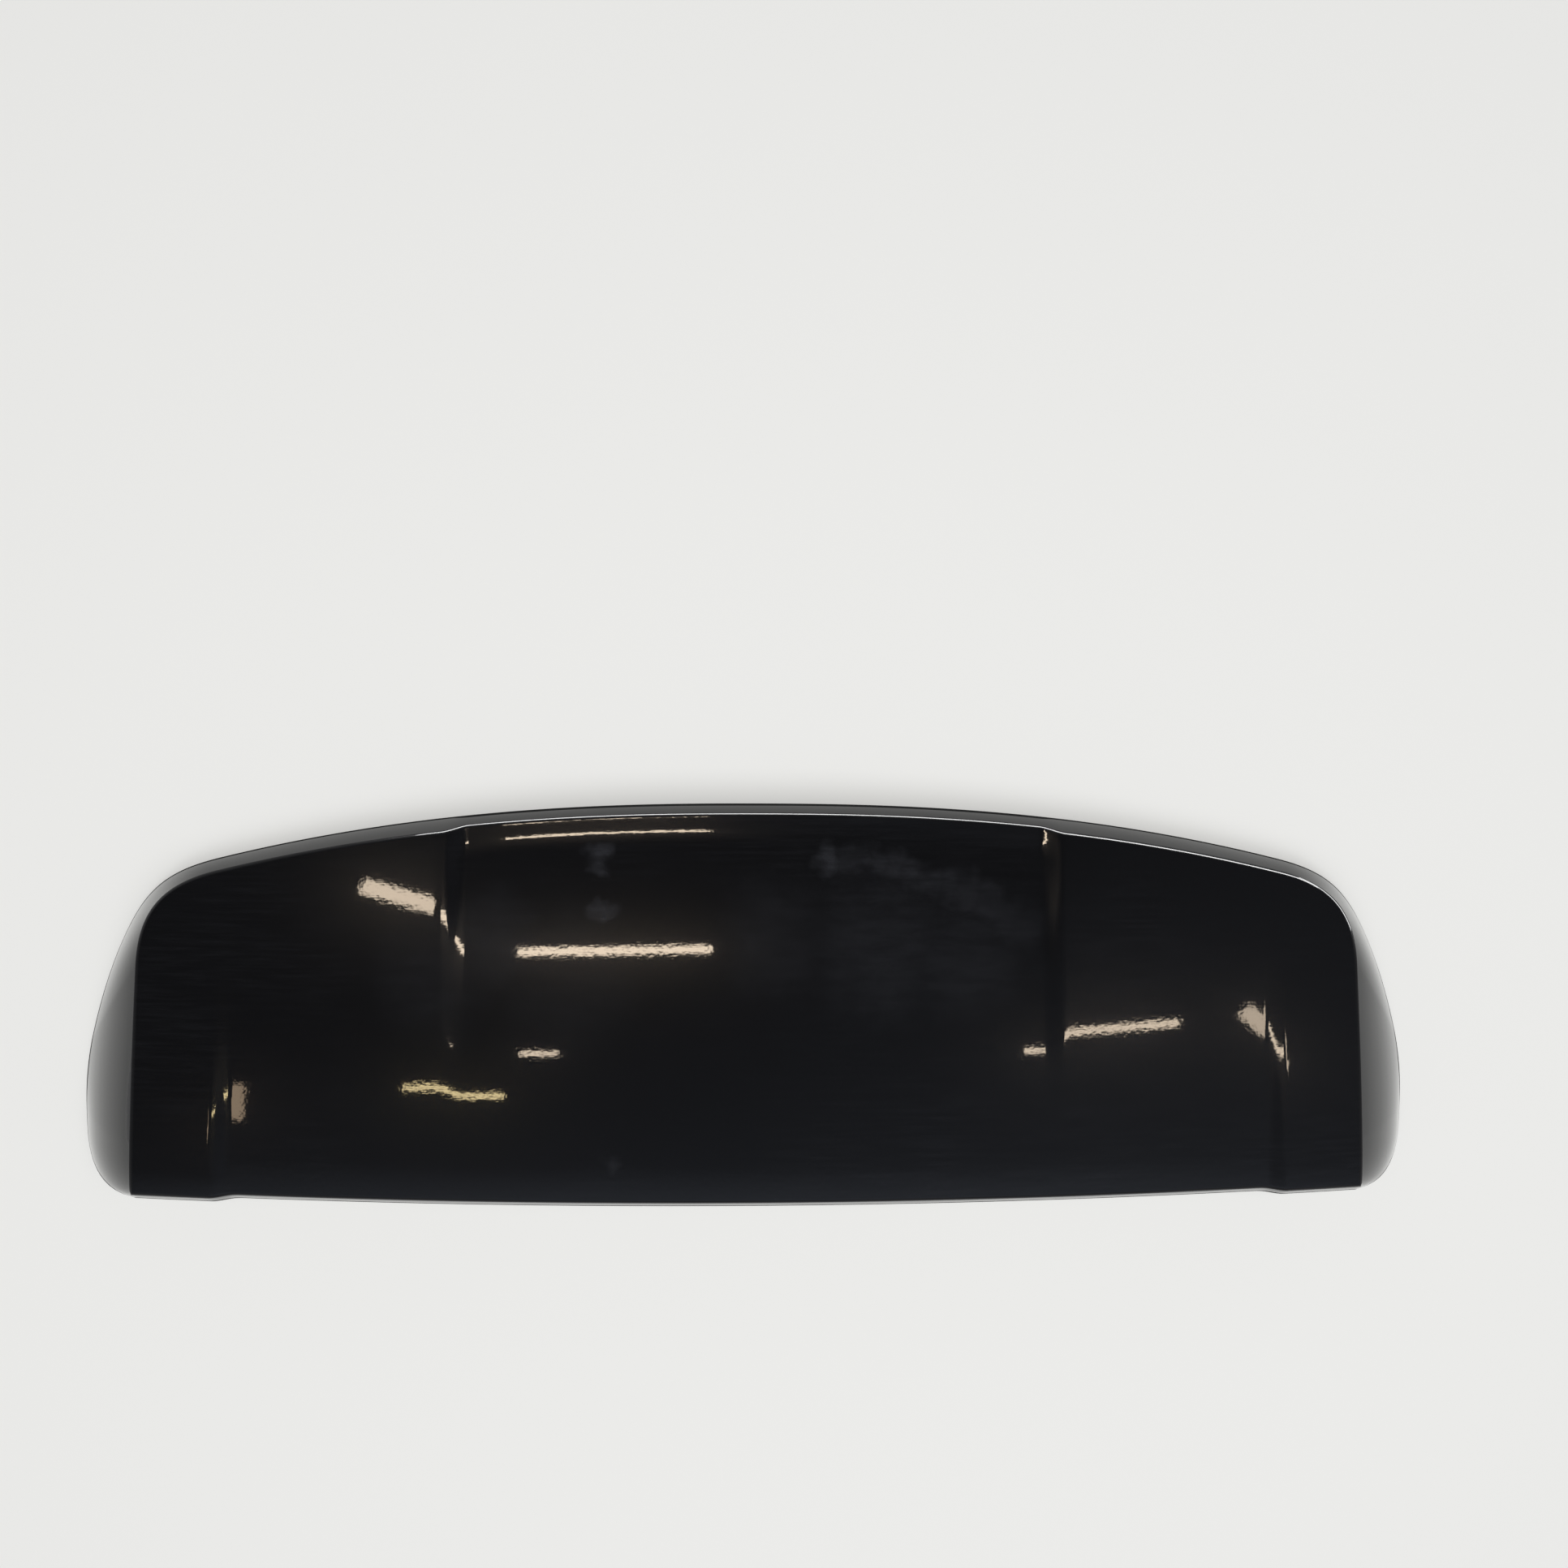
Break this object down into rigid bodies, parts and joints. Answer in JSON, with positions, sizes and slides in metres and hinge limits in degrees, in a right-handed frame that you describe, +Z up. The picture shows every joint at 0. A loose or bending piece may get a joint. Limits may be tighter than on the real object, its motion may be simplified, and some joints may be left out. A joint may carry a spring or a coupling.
{
  "type": "tailgate spoiler",
  "caption": "Gloss black roof-edge spoiler for a car's tailgate: a painted hollow skin with a sunken middle field and rounded ends, on an inner moulding with studs and clips.",
  "frame": {"origin": "middle of the box round the part, on the plane that the rims of the two flanks rest on", "axes": "+X across the car, towards the right in the picture; +Y to the rear, towards the trailing edge; +Z up, out of the painted face"},
  "size_m": [1.25, 0.3534, 0.118],
  "materials": {
    "black_paint": "gloss black paint with clear lacquer over moulded plastic",
    "grained_plastic": "unpainted black plastic with a fine grain",
    "zinc_plate": "zinc plated steel",
    "spring_steel": "plain spring steel",
    "foam": "closed-cell foam, matte black",
    "rubber": "matte black rubber"
  },
  "bodies": {
    "root": {"upper_shell": "black_paint", "lower_shell": "grained_plastic", "front_seal": "foam", "stud_left_front": "zinc_plate", "stud_left_rear": "zinc_plate", "stud_right_front": "zinc_plate", "stud_right_rear": "zinc_plate", "stud_middle_left": "zinc_plate", "stud_middle_right": "zinc_plate", "foam_washer_left_front": "foam", "foam_washer_left_rear": "foam", "foam_washer_right_front": "foam", "foam_washer_right_rear": "foam", "foam_washer_middle_left": "foam", "foam_washer_middle_right": "foam", "spring_clip_left_outer": "spring_steel", "spring_clip_left_inner": "spring_steel", "spring_clip_right_inner": "spring_steel", "spring_clip_right_outer": "spring_steel", "bump_stop_left": "rubber", "bump_stop_right": "rubber"}
  },
  "joints": []
}
